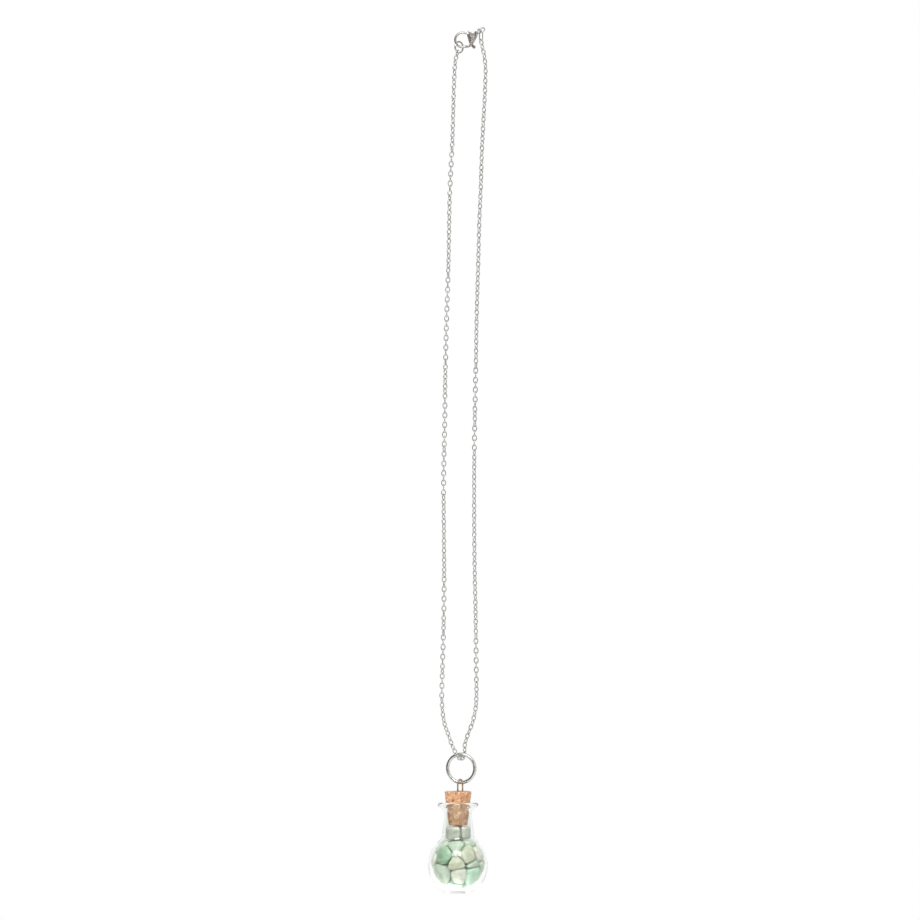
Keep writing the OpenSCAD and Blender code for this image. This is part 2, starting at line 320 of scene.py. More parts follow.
def between(p: Value, q: Value, r: Value, s: Value, t: float) -> Value:
    """A smooth curve's place at the share t of the way from q to r.

    Args:
        p: The value before q.
        q: The value where the stretch starts.
        r: The value where it ends.
        s: The value after r.
        t: The share, from 0 to 1.

    Returns:
        The place, a number or a vector like the four.
    """
    return 0.5 * (2 * q + (r - p) * t + (2 * p - 5 * q + 4 * r - s) * t * t
                  + (3 * q - p - 3 * r + s) * t * t * t)


# Finishes


@dataclass(frozen=True)
class PolishedSteel:
    """Stainless steel, cast or drawn and then tumbled bright.

    Its base is a bright neutral grey, and the tumbling leaves fine dents and
    hairlines that break up the reflections. A metal keeps the default IOR.
    """

    name: str
    bright: str
    dull: str
    roughness: float
    dents_mm: float
    dent_depth_mm: float = 0.004
    hairline_depth_mm: float = 0.002
    hairline_stretch: Point = (1, 1, 12)
    hairline_turn: Point = (0, 35, 20)
    # How far below and above the roughness the polish varies
    gloss_shares: tuple[float, float] = (0.7, 1.5)

    def material(self) -> bpy.types.Material:
        """Builds the finish.

        Returns:
            The finish as a material.
        """
        material, tree = new_material(self.name)
        spots = add_node(tree, "TexNoise", {"Scale": 1 / self.dents_mm, "Detail": 4.0},
                         {"Vector": pattern_place(tree)})
        hairs = add_node(tree, "TexNoise", {"Scale": 2 / self.dents_mm, "Detail": 2.0},
                         {"Vector": pattern_place(tree, self.hairline_stretch, self.hairline_turn)})
        least, most = self.gloss_shares
        gloss = add_node(tree, "MapRange",
                         {"From Min": 0.3, "From Max": 0.7, "To Min": self.roughness * least,
                          "To Max": self.roughness * most}, {"Value": spots.outputs["Fac"]})
        dents = add_node(tree, "Bump", {"Strength": 0.25, "Distance": self.dent_depth_mm * MM},
                         {"Height": spots.outputs["Fac"]})
        lines = add_node(tree, "Bump", {"Strength": 0.2, "Distance": self.hairline_depth_mm * MM},
                         {"Height": hairs.outputs["Fac"], "Normal": dents.outputs["Normal"]})
        colour = add_node(tree, "ValToRGB", links={"Fac": spots.outputs["Fac"]},
                          stops=[(0.35, self.dull), (0.6, self.bright)])
        steel = add_node(tree, "BsdfPrincipled", {"Metallic": 1.0},
                         {"Base Color": colour.outputs["Color"], "Roughness": gloss.outputs["Result"],
                          "Normal": lines.outputs["Normal"]})
        add_node(tree, "OutputMaterial", links={"Surface": steel.outputs["BSDF"]})
        return material


@dataclass(frozen=True)
class AgglomeratedCork:
    """Agglomerated cork: granules of bark pressed with a binder, then cut and sanded.

    Each granule has its own tan, dark bark specks lie between them, and the
    sanded surface is matt with small pits.
    """

    name: str = "agglomerated_cork"
    # The granules' tans, from the darkest to the palest, with each one's place in the spread
    tans: Stops = ((0.0, "#a87858"), (0.3, "#c1906c"), (0.65, "#d4a47f"), (1.0, "#e1b998"))
    speck: str = "#6b452c"
    granule_mm: float = 1.1
    speck_mm: float = 0.42
    pit_mm: float = 0.12
    # How far noise bends the granules' edges
    bend: float = 0.25

    def material(self) -> bpy.types.Material:
        """Builds the finish.

        Returns:
            The finish as a material.
        """
        material, tree = new_material(self.name)
        where = pattern_place(tree)
        warp = add_node(tree, "TexNoise", {"Scale": 1 / self.speck_mm, "Detail": 3.0}, {"Vector": where})
        bent = add_node(tree, "MixRGB", {"blend_type": "LINEAR_LIGHT", "Fac": self.bend},
                        {"Color1": where, "Color2": warp.outputs["Color"]})
        granules = add_node(tree, "TexVoronoi", {"Scale": 1 / self.granule_mm},
                            {"Vector": bent.outputs["Color"]})
        seams = add_node(tree, "TexVoronoi", {"feature": "DISTANCE_TO_EDGE", "Scale": 1 / self.granule_mm},
                         {"Vector": bent.outputs["Color"]})
        tone = add_node(tree, "SeparateColor", links={"Color": granules.outputs["Color"]})
        tan = add_node(tree, "ValToRGB", links={"Fac": tone.outputs["Red"]}, stops=self.tans)
        specks = add_node(tree, "TexNoise", {"Scale": 1 / self.speck_mm, "Detail": 5.0, "Roughness": 0.65},
                          {"Vector": where})
        speck_mask = add_node(tree, "MapRange", {"From Min": 0.56, "From Max": 0.66},
                              {"Value": specks.outputs["Fac"]})
        seam_mask = add_node(tree, "MapRange", {"From Min": 0.1, "From Max": 0.0, "To Max": 0.3},
                             {"Value": seams.outputs["Distance"]})
        dark = add_node(tree, "Math", {"operation": "MAXIMUM"},
                        {0: speck_mask.outputs["Result"], 1: seam_mask.outputs["Result"]})
        colour = add_node(tree, "MixRGB", {"Color2": linear(self.speck)},
                          {"Fac": dark.outputs["Value"], "Color1": tan.outputs["Color"]})
        pits = add_node(tree, "Bump", {"Strength": 0.7, "Distance": self.pit_mm * MM, "invert": True},
                        {"Height": dark.outputs["Value"]})
        cork = add_node(tree, "BsdfPrincipled", {"Roughness": 0.85, "Specular IOR Level": 0.3},
                        {"Base Color": colour.outputs["Color"], "Normal": pits.outputs["Normal"]})
        add_node(tree, "OutputMaterial", links={"Surface": cork.outputs["BSDF"]})
        return material


@dataclass(frozen=True)
class BlownGlass:
    """Clear soda-lime glass, lamp-blown and fire-polished.

    It is colourless and mirror smooth, and the blowing leaves slow waves that
    bend what is seen through it. Its shadow lets the light through, because a
    thin clear wall casts almost none.
    """

    name: str = "clear_blown_glass"
    tint: str = "#f0f3f0"
    shadow_tint: str = "#f4faf7"
    ior: float = 1.5
    wave_mm: float = 5.0
    wave_depth_mm: float = 0.08

    def material(self) -> bpy.types.Material:
        """Builds the finish.

        Returns:
            The finish as a material.
        """
        material, tree = new_material(self.name)
        waves = add_node(tree, "TexNoise", {"Scale": 1 / self.wave_mm, "Detail": 1.0},
                         {"Vector": pattern_place(tree, (1, 1, 0.6))})
        bump = add_node(tree, "Bump", {"Strength": 0.3, "Distance": self.wave_depth_mm * MM},
                        {"Height": waves.outputs["Fac"]})
        glass = add_node(tree, "BsdfPrincipled",
                         {"Base Color": linear(self.tint), "Roughness": 0.0, "IOR": self.ior,
                          "Transmission Weight": 1.0}, {"Normal": bump.outputs["Normal"]})
        clear = add_node(tree, "BsdfTransparent", {"Color": linear(self.shadow_tint)})
        path = add_node(tree, "LightPath")
        surface = add_node(tree, "MixShader", links={"Fac": path.outputs["Is Shadow Ray"],
                                                     1: glass.outputs["BSDF"], 2: clear.outputs["BSDF"]})
        add_node(tree, "OutputMaterial", links={"Surface": surface.outputs["Shader"]})
        return material


@dataclass(frozen=True)
class TumbledQuartz:
    """A quartz chip, broken and then tumbled to a satin skin.

    Light goes a little way into it, cloudy bands and pale patches run through
    it, and small broken faces catch the light.
    """

    name: str
    deep: str
    main: str
    pale: str
    cloud_mm: float = 2.6
    grain_mm: float = 0.35
    grain_depth_mm: float = 0.06
    ior: float = 1.54
    # How much of the light goes in, how far, and how far each colour of it
    cloudiness: float = 0.9
    glow_mm: float = 3.6
    glow_reach: Point = (1.0, 1.15, 1.0)

    def material(self) -> bpy.types.Material:
        """Builds the finish.

        Returns:
            The finish as a material.
        """
        material, tree = new_material(self.name)
        where = pattern_place(tree, (1, 1, 1.5), (25, 40, 0))
        clouds = add_node(tree, "TexNoise", {"Scale": 1 / self.cloud_mm, "Detail": 4.0, "Distortion": 0.8},
                          {"Vector": where})
        colour = add_node(tree, "ValToRGB", links={"Fac": clouds.outputs["Fac"]},
                          stops=[(0.3, self.deep), (0.5, self.main), (0.72, self.pale)])
        grain = add_node(tree, "TexNoise", {"Scale": 1 / self.grain_mm, "Detail": 4.0}, {"Vector": where})
        gloss = add_node(tree, "MapRange", {"To Min": 0.25, "To Max": 0.5}, {"Value": grain.outputs["Fac"]})
        chips = add_node(tree, "Bump", {"Strength": 0.4, "Distance": self.grain_depth_mm * MM},
                         {"Height": grain.outputs["Fac"]})
        stone = add_node(tree, "BsdfPrincipled",
                         {"IOR": self.ior, "Subsurface Weight": self.cloudiness,
                          "Subsurface Radius": self.glow_reach, "Subsurface Scale": self.glow_mm * MM},
                         {"Base Color": colour.outputs["Color"], "Roughness": gloss.outputs["Result"],
                          "Normal": chips.outputs["Normal"]})
        add_node(tree, "OutputMaterial", links={"Surface": stone.outputs["BSDF"]})
        return material


class StoneKind(Enum):
    """The five sorts of chips in the bottle, each with its slot in the record."""

    DARK_GREEN = "stone_dark_green"
    PALE_GREEN = "stone_pale_green"
    MINT = "stone_mint"
    CREAM = "stone_cream"
    OLIVE = "stone_olive"


# Green quartz, aventurine and milky quartz: pale, with the deeper tone inside
QUARTZ = {
    StoneKind.DARK_GREEN: TumbledQuartz("green_quartz", "#7f9981", "#92ab93", "#acc0aa"),
    StoneKind.PALE_GREEN: TumbledQuartz("pale_green_quartz", "#9fae9b", "#abb6a5", "#c1c9bc"),
    StoneKind.MINT: TumbledQuartz("mint_quartz", "#a0c3ab", "#b2d1bb", "#c7ddcc"),
    StoneKind.CREAM: TumbledQuartz("cream_quartz", "#bab8ab", "#c6c4b8", "#d6d4ca"),
    StoneKind.OLIVE: TumbledQuartz("olive_quartz", "#a4a38b", "#b6b5a2", "#cbcbbd"),
}


# Wire pieces


def wire_circle(wire_d: float, sides: int, at: Sequence[float], turn: Sequence[float] = ORIGIN) -> Piece:
    """A circle of wire thickness, ready to be spun into a ring or a bow.

    Args:
        wire_d: The wire's diameter.
        sides: How many sides the wire has.
        at: The circle's centre.
        turn: Its turn in degrees.

    Returns:
        The circle as a piece, in edit mode and selected.
    """
    fresh()
    bpy.ops.mesh.primitive_circle_add(vertices=sides, radius=wire_d / 2, fill_type="NOTHING", location=at,
                                      rotation=[math.radians(t) for t in turn])
    piece = bpy.context.object
    bpy.ops.object.transform_apply(location=True, rotation=True, scale=True)
    edit(piece)
    bpy.ops.mesh.select_all(action="SELECT")
    return piece


def spin(angle: float, steps: int, centre: Point, axis: Point) -> None:
    """Spins what is selected in edit mode, right-handed, by an angle in degrees."""
    # The operator itself turns left-handed
    bpy.ops.mesh.spin(steps=steps, angle=-math.radians(angle), center=centre, axis=axis)


def close_ends() -> None:
    """Caps the open ends of the wire that is being edited, and leaves edit mode."""
    bpy.ops.mesh.select_all(action="SELECT")
    bpy.ops.mesh.fill_holes(sides=0)
    close_edit()


def oval_link(length: float, width: float, wire_d: float, end_r: float, sides: int,
              steps: tuple[int, int]) -> Piece:
    """One closed oval link of four arcs, its long axis along Z and its face in the XZ plane.

    Args:
        length: Its outer length.
        width: Its outer width.
        wire_d: The wire's diameter.
        end_r: The radius of the centre line at the two ends.
        sides: How many sides the wire has.
        steps: How many steps half an end takes, and how many a side.

    Returns:
        The link, centred on the origin.
    """
    half_l, half_w = (length - wire_d) / 2, (width - wire_d) / 2
    reach = half_l - end_r
    bend = 2 * math.atan((half_w - end_r) / reach)
    shift = reach / math.sin(bend) + end_r - half_w
    side, half_end = 2 * math.degrees(bend), 90 - math.degrees(bend)
    top, low, right, left = (0, 0, reach), (0, 0, -reach), (-shift, 0, 0), (shift, 0, 0)
    arcs = ((top, half_end, steps[0]), (right, side, steps[1]), (low, 2 * half_end, 2 * steps[0]),
            (left, side, steps[1]), (top, half_end, steps[0]))
    here = Vector((0, 0, half_l))
    piece = wire_circle(wire_d, sides, here, (0, 90, 0))
    for centre, angle, count in arcs:
        # The wire's open end is what lies within its own radius, and a little more
        select_where(piece, lambda co: (co - here).length < 0.52 * wire_d)
        spin(angle, count, centre, (0, 1, 0))
        here = Matrix.Rotation(math.radians(angle), 3, "Y") @ (here - Vector(centre)) + Vector(centre)
    close_edit()
    return piece


@dataclass
class JumpRing:
    """A ring of round wire, bent shut, with the fine saw cut where its ends meet.

    finish is the wire's steel, and slot names its slot in the record but is not used. cut_at is the
    cut's place in degrees. spring is how far the first end stands sideways, and
    that fades out over spring_reach degrees of the ring.
    """

    name: str
    node: str
    body: Body
    slot: str
    finish: PolishedSteel
    outer_d: float
    wire_d: float
    centre: Point
    turn: Point
    cut_at: float
    cut_gap: float = 0.06
    sides: int = 20
    steps: int = 64
    spring: float = 0.0
    spring_reach: float = 40
    rounding: float = 0.08

    def build(self) -> Piece:
        """Spins the wire, closes and rounds its ends and sets the ring in place.

        Returns:
            The ring.
        """
        line_r = (self.outer_d - self.wire_d) / 2
        gap = math.degrees(self.cut_gap / line_r)
        piece = wire_circle(self.wire_d, self.sides, (line_r, 0, 0), (90, 0, 0))
        spin(360 - gap, self.steps, ORIGIN, (0, 0, 1))
        close_ends()
        round_edges(piece, self.wire_d * self.rounding, 2)
        self._spring_open(piece)
        # The flat ring turns its cut to its place and stands up, before it takes its own turn
        place(piece, turn=(0, 0, self.cut_at + gap / 2))
        place(piece, turn=(90, 0, 0))
        place(piece, self.centre, self.turn)
        return finished(piece, self.name, self.body, [self.node], self.finish.material())

    def _spring_open(self, piece: Piece) -> None:
        """Lets the wire's first end stand sideways by the ring's spring.

        Args:
            piece: The flat ring, with its cut where its angles start.
        """
        reach = math.radians(self.spring_reach)
        for vertex in piece.data.vertices:
            angle = math.atan2(vertex.co.y, vertex.co.x) % math.tau
            if angle < reach:
                vertex.co.z += self.spring * (1 - angle / reach) ** 2


# The chain


@dataclass
class CableChain:
    """The cable chain: small oval links, each turned a quarter from the last.

    It hangs from the end ring, goes round the pendant ring's wire and climbs to
    the long link. Seen from the front its links stand at an eighth of a turn and
    lean degrees more. twists lists stretches where a strand has turned on, so
    that its links show face-on and edge-on in turn, and such a stretch fades out
    over fade millimetres. swing is the most that a link turns by chance.
    """

    link_l: float = 2.62
    link_w: float = 1.84
    wire_d: float = 0.4
    end_r: float = 0.5
    sides: int = 5
    steps: tuple[int, int] = (2, 3)
    pitch: float = 1.69
    start: Point = (-1.55, -0.4, -6.02)
    end: Point = (6.5, -0.64, -2.2)
    route: tuple[Point, ...] = (
        (-2.5, -0.3, -9.5), (-2.8, -0.1, -14), (-3.1, 0, -22.5), (-3.6, 0, -39), (-4.2, 0, -50),
        (-4.6, 0, -62), (-4.9, 0, -81), (-5.5, 0, -98), (-6, 0, -119), (-6.2, 0, -136), (-6.6, 0, -156),
        (-6.5, 0, -174), (-6.4, 0, -190), (-6.6, 0, -207), (-7, 0, -222), (-7.2, -0.2, -233.9),
        (-6.4, -0.6, -240.9), (-5, -1.1, -245.1), (-3.7, -1.5, -248.8), (-2.7, -1.8, -251),
        (-1.9, -1.6, -252.6), (-1.2, -0.9, -253.5), (-0.5, 0, -253.8), (0.2, 0.9, -253.5),
        (0.7, 1.6, -252.4), (0.8, 1.8, -250.8), (0.8, 1.6, -248.8), (2, 1.1, -245.1), (3.6, 0.6, -240.9),
        (4.5, 0.2, -236.7), (4.9, 0.1, -232), (4.8, 0, -220), (4.6, 0, -203), (4.2, 0, -182),
        (4.1, 0, -157), (4.3, 0, -136), (4.7, 0, -116), (5, 0, -98), (5.5, 0, -81), (5.9, 0, -66),
        (6.4, 0, -54), (6.8, 0, -41), (7.3, 0, -31), (7.8, 0, -22), (8.1, -0.1, -13), (7.9, -0.2, -9.9),
        (7.5, -0.4, -6.7), (6.9, -0.5, -4.6))
    # Each stretch: side of the loop, height of its middle, half its length
    twists: tuple[tuple[int, float, float], ...] = (
        (-1, -48.5, 4.4), (-1, -100, 13), (-1, -136, 6), (-1, -153.7, 4.6), (-1, -197.3, 3.3), (-1, -215, 3),
        (-1, -228.6, 1.5), (1, -123.8, 4.4), (1, -141, 1.8), (1, -218.8, 3.9))
    fade: float = 5.0
    lean: float = 9.0
    swing: float = 5.0
    seed: int = 5
    # Steps of the smooth line in millimetres, and how often the pitch is fitted to its length
    fine: float = 0.05
    fits: int = 8
    # Left of this the loop is its left strand
    middle_x: float = -0.5
    finish: PolishedSteel = PolishedSteel("drawn_chain_steel", "#c3c3bf", "#a9a9a5", 0.3, 0.5)

    def build(self) -> Piece:
        """Models one link, copies it along the route and joins the copies.

        Returns:
            All links as one piece.
        """
        model = oval_link(self.link_l, self.link_w, self.wire_d, self.end_r, self.sides, self.steps)
        joints = self._joints()
        chance = random.Random(self.seed)
        copies = []
        for i, (a, b) in enumerate(zip(joints, joints[1:])):
            copies.append(new_object("link", model.data.copy()))
            copies[i].data.transform(self._stand(i, a, b, chance.uniform(-self.swing, self.swing)))
        bpy.data.objects.remove(model)
        pick(*copies)
        bpy.ops.object.join()
        LOG.info("chain: %d links", len(copies))
        return finished(copies[0], "chain_links", Body.NECKLACE, ["chain"],
                        self.finish.material(), crease=80)

    def _curve(self) -> list[Vector]:
        """Draws a smooth line through the points of the route.

        Returns:
            The line's points, close together.
        """
        points = [Vector(p) for p in (self.start, *self.route, self.end)]
        line: list[Vector] = []
        for i in range(len(points) - 1):
            a, b, c = points[max(i - 1, 0)], points[i], points[i + 1]
            d = points[min(i + 2, len(points) - 1)]
            steps = max(4, round((c - b).length / self.fine))
            line += [between(a, b, c, d, k / steps) for k in range(steps)]
        return line + [points[-1]]

    def _joints(self) -> list[Vector]:
        """Steps along the route, a pitch at a time, and fits the pitch to its length.

        Returns:
            The points where links touch, from the first to the last.
        """
        line = self._curve()
        pitch = self.pitch
        for _ in range(self.fits):
            joints = [line[0]]
            for a, b in zip(line, line[1:]):
                while (b - joints[-1]).length >= pitch:
                    share = (pitch - (a - joints[-1]).length) / (b - a).length
                    joints.append(a + (b - a) * min(max(share, 0), 1))
            left = (line[-1] - joints[-1]).length
            count = len(joints) - 1
            whole = count if left < pitch / 2 else count + 1
            pitch *= (count + left / pitch) / whole
        joints = joints[:whole] + [line[-1]]
        LOG.info("chain: pitch %.4f mm", pitch)
        return joints

    def _turn(self, middle: Vector) -> float:
        """How far a strand has turned on from an eighth of a turn.

        Args:
            middle: The middle of a link.

        Returns:
            The turn there, in degrees.
        """
        side = -1 if middle.x < self.middle_x else 1
        turned = 0.0
        for strand, height, half in self.twists:
            if strand == side:
                beyond = abs(middle.z - height) - half
                turned = max(turned, 1 - min(max(beyond / self.fade, 0), 1))
        return EIGHTH * turned * turned * (3 - 2 * turned)

    def _stand(self, i: int, a: Vector, b: Vector, chance: float) -> Matrix:
        """Where a link goes between two joints.

        Args:
            i: The link's number, which says whether it is turned by a quarter.
            a: The joint before it.
            b: The joint after it.
            chance: Its own small turn in degrees.

        Returns:
            The matrix that takes the link there.
        """
        along = (b - a).normalized()
        flat = (Vector((1, 0, 0)) - along.x * along).normalized()
        side = along.cross(flat)
        middle = (a + b) / 2
        turned = self.lean + (1 - self.lean / EIGHTH) * self._turn(middle)
        angle = math.radians(EIGHTH + 2 * EIGHTH * (i % 2) + turned + chance)
        width = math.cos(angle) * flat + math.sin(angle) * side
        across = along.cross(width)
        return Matrix([(width.x, across.x, along.x, middle.x), (width.y, across.y, along.y, middle.y),
                       (width.z, across.z, along.z, middle.z), (0, 0, 0, 1)])


@dataclass
class LongLink:
    """The longer end link between the chain and the clasp's jump ring."""

    length: float = 3.89
    width: float = 1.75
    wire_d: float = 0.4
    end_r: float = 0.66
    sides: int = 14
    steps: tuple[int, int] = (6, 10)
    top: Point = (6.5, -0.64, 1.16)
    turn: float = 35
    finish: PolishedSteel = PolishedSteel("long_link_steel", "#c3c3bf", "#a3a39f", 0.28, 0.5)

    def build(self) -> Piece:
        """Models the link and hangs it in the jump ring.

        Returns:
            The link.
        """
        piece = oval_link(self.length, self.width, self.wire_d, self.end_r, self.sides, self.steps)
        x, y, z = self.top
        place(piece, (x, y, z - self.length / 2), (0, 0, self.turn))
        return finished(piece, "long_end_link", Body.NECKLACE, ["long_link"], self.finish.material())


# The clasp


@dataclass
class LobsterClasp:
    """The cast lobster clasp: claw, gate lever and rivet.

    The claw and the lever keep the solids' shape, and remeshing rounds their
    edges as casting and tumbling do.
    """

    voxel: float = 0.06
    rounds: int = 5
    # The cheeks' edges are rounded further: where they begin front to back, and how often
    cheek_y: tuple[float, float] = (0.55, 0.85)
    cheek_rounds: int = 36
    # The raised rim along the back of each cheek: its line, from the rivet to the eye
    rim: Curve = ((3.6, -3.1), (4.05, -2.4), (4.6, -1.5), (5.02, -0.4), (4.92, 0.9))
    rim_y: float = 1.08
    rim_r: float = 0.34
    pin_d: float = 0.54
    pin_l: float = 2.5
    pin_at: Point = (3.08, 0, -3.78)
    pin_dome: float = 0.09
    pin_sides: int = 28
    body_finish: PolishedSteel = PolishedSteel("tumbled_cast_steel", "#b4b0ac", "#98938f", 0.3, 0.6)
    # The lever's steel is the claw's steel made darker: painted shade for the slot between the cheeks where
    # the lever sits.
    shaded_lever_finish: PolishedSteel = PolishedSteel("lever_steel_painted_shade", "#928b87", "#635d59", 0.3, 0.5)

    def build(self) -> list[Piece]:
        """Builds the claw, the lever and the rivet.

        Returns:
            The three pieces.
        """
        steel, shaded_lever_steel = self.body_finish.material(), self.shaded_lever_finish.material()
        claw = copy_of_node("clasp_body")
        pick(claw, self._rim(-1), self._rim(1))
        bpy.ops.object.join()
        tumble(claw, self.voxel, self.rounds)
        self._round_cheeks(claw)
        lever = copy_of_node("clasp_lever")
        tumble(lever, self.voxel, self.rounds)
        return [finished(claw, "clasp_claw", Body.NECKLACE, ["clasp_body"], steel, crease=FLAT),
                finished(lever, "clasp_gate", Body.LEVER, ["clasp_lever"], shaded_lever_steel, crease=FLAT),
                finished(self._rivet(), "clasp_rivet", Body.NECKLACE, ["clasp_pin"], steel)]

    def _rim(self, side: int) -> Piece:
        """Draws one raised rim as a curve with a thickness.

        Args:
            side: -1 for the front cheek and 1 for the back one.

        Returns:
            The rim as a mesh.
        """
        fresh()
        bpy.ops.curve.primitive_nurbs_path_add()
        rim = bpy.context.object
        for point, (x, z) in zip(rim.data.splines[0].points, self.rim):
            point.co = (x, side * self.rim_y, z, 1)
        rim.data.bevel_depth = self.rim_r
        rim.data.use_fill_caps = True
        bpy.ops.object.convert(target="MESH")
        return bpy.context.object

    def _round_cheeks(self, piece: Piece) -> None:
        """Rounds the cheeks' outer edges, further than the thin hook could bear.

        Args:
            piece: The claw.
        """
        inner, outer = self.cheek_y
        group = piece.vertex_groups.new(name="cheeks")
        for vertex in piece.data.vertices:
            group.add([vertex.index], min(max((abs(vertex.co.y) - inner) / (outer - inner), 0), 1), "REPLACE")
        smooth(piece, self.cheek_rounds, group.name)
        piece.vertex_groups.clear()

    def _rivet(self) -> Piece:
        """Makes the pin with its two peened, slightly domed heads.

        Returns:
            The pin, in millimetres.
        """
        fresh()
        bpy.ops.mesh.primitive_cylinder_add(vertices=self.pin_sides, radius=self.pin_d / 2,
                                            depth=self.pin_l, location=self.pin_at,
                                            rotation=(math.pi / 2, 0, 0))
        piece = bpy.context.object
        bpy.ops.object.transform_apply(location=True, rotation=True, scale=True)
        round_edges(piece, self.pin_dome, 3)
        return piece


# The pendant


def arc(centre: tuple[float, float], radius: float, start: float, end: float, steps: int) -> Profile:
    """Points on an arc, with its angles in degrees."""
    angles = [math.radians(start + (end - start) * i / steps) for i in range(steps + 1)]
    return [(centre[0] + radius * math.cos(a), centre[1] + radius * math.sin(a)) for a in angles]


@dataclass
class GlassBottle:
    """The round lamp-blown bottle with its straight neck and rolled lip.

    Heights are above the foot, and a point of a curve is a radius and a height.
    The bulb is a ball cut at its middle, with its two centres at low_h and high_h.
    """

    foot: Point = FOOT
    height: float = 31.8
    bulb_r: float = 10.4
    low_h: float = 9.3
    high_h: float = 10.4
    wall: float = 0.95
    floor_h: float = 1.9
    neck_low: tuple[float, float] = (5.65, 20.6)
    neck_top: tuple[float, float] = (4.95, 27.6)
    bore_r: float = 4.2
    mouth_r: float = 4.42
    mouth_curve: float = 0.8
    lip_r: float = 7.15
    lip_t: float = 1.75
    throat_r: float = 1.6
    neck_wall: float = 0.85
    # The foot's hollow underside, and the inside of the shoulder from the neck's own inside
    foot_curve: Curve = ((0, 0.35), (1.2, 0.32), (2.4, 0.16), (3.2, 0.03), (3.9, 0))
    shoulder: Curve = ((0, 0), (0.12, -0.85), (0.38, -1.6), (0.8, -2.25), (1.32, -2.9))
    # The inside's floor, from its own height
    floor_curve: Curve = ((4.2, 0.12), (3.4, 0), (1.7, 0), (0, 0))
    turns: int = 96
    fineness: int = 3

    def build(self) -> Piece:
        """Draws half the section by extruding a point, and spins it.

        Returns:
            The bottle.
        """
        points = self._section()
        fresh()
        bpy.ops.mesh.primitive_plane_add(size=1)
        piece = bpy.context.object
        edit(piece)
        bpy.ops.mesh.select_all(action="SELECT")
        bpy.ops.mesh.merge(type="CENTER")
        bpy.ops.transform.translate(value=(points[0][0], 0, points[0][1]))
        for (r0, h0), (r1, h1) in zip(points, points[1:]):
            bpy.ops.mesh.extrude_region_move(TRANSFORM_OT_translate={"value": (r1 - r0, 0, h1 - h0)})
        bpy.ops.mesh.select_all(action="SELECT")
        spin(360, self.turns, ORIGIN, (0, 0, 1))
        close_edit()
        place(piece, self.foot)
        return finished(piece, "glass_bottle", Body.PENDANT, ["bottle"], BlownGlass().material(),
                        crease=FLAT)

    def _section(self) -> Profile:
        """Draws half the section, from the foot up the outside and down inside to the floor.

        Returns:
            The section's points.
        """
        inner_r = self.bulb_r - self.wall
        lip_h = self.height - self.lip_t / 2
        low_r, low_h = self.neck_low
        top_r, top_h = self.neck_top
        # Up the outside: the foot, the bulb and the neck, which is slightly waisted
        points = list(self.foot_curve)
        points += arc((0, self.low_h), self.bulb_r, -60, 0, 12)
        points += arc((0, self.high_h), self.bulb_r, 0, 50, 10)
        points += [(low_r + 0.32, low_h - 1.2), (low_r, low_h),
                   ((low_r + top_r) / 2 - 0.12, (low_h + top_h) / 2), (top_r, top_h)]
        # Out under the lip, round it and over the mouth's edge
        points += arc((top_r + self.throat_r, top_h + 0.4), self.throat_r, 170, 120, 4)
        points += arc((self.lip_r - self.lip_t / 2, lip_h), self.lip_t / 2, -50, 90, 8)
        mouth = (self.mouth_r + self.mouth_curve, self.height - self.mouth_curve)
        points += arc(mouth, self.mouth_curve, 90, 180, 5)[1:]
        # Down the inside: the bore, the shoulder, the bulb and the floor
        points.append((self.bore_r, top_h + 0.6))
        points += [(low_r - self.neck_wall + r, low_h + h) for r, h in self.shoulder]
        points += arc((0, self.high_h), inner_r, 43, -58, 20)
        points += [(r, self.floor_h + h) for r, h in self.floor_curve]
        return smooth_profile(points, self.fineness)


def smooth_profile(points: Profile, steps: int) -> Profile:
    """Draws a smooth line through the points of a section.

    Args:
        points: The section.
        steps: How many steps the line takes between two points.

    Returns:
        The line's points, none of them beyond the axis.
    """
    dense: Profile = []
    for i in range(len(points) - 1):
        a, b, c = points[max(i - 1, 0)], points[i], points[i + 1]
        d = points[min(i + 2, len(points) - 1)]
        dense += [tuple(between(*four, k / steps) for four in zip(a, b, c, d)) for k in range(steps)]
    return [(max(r, 0.0), h) for r, h in dense + [points[-1]]]


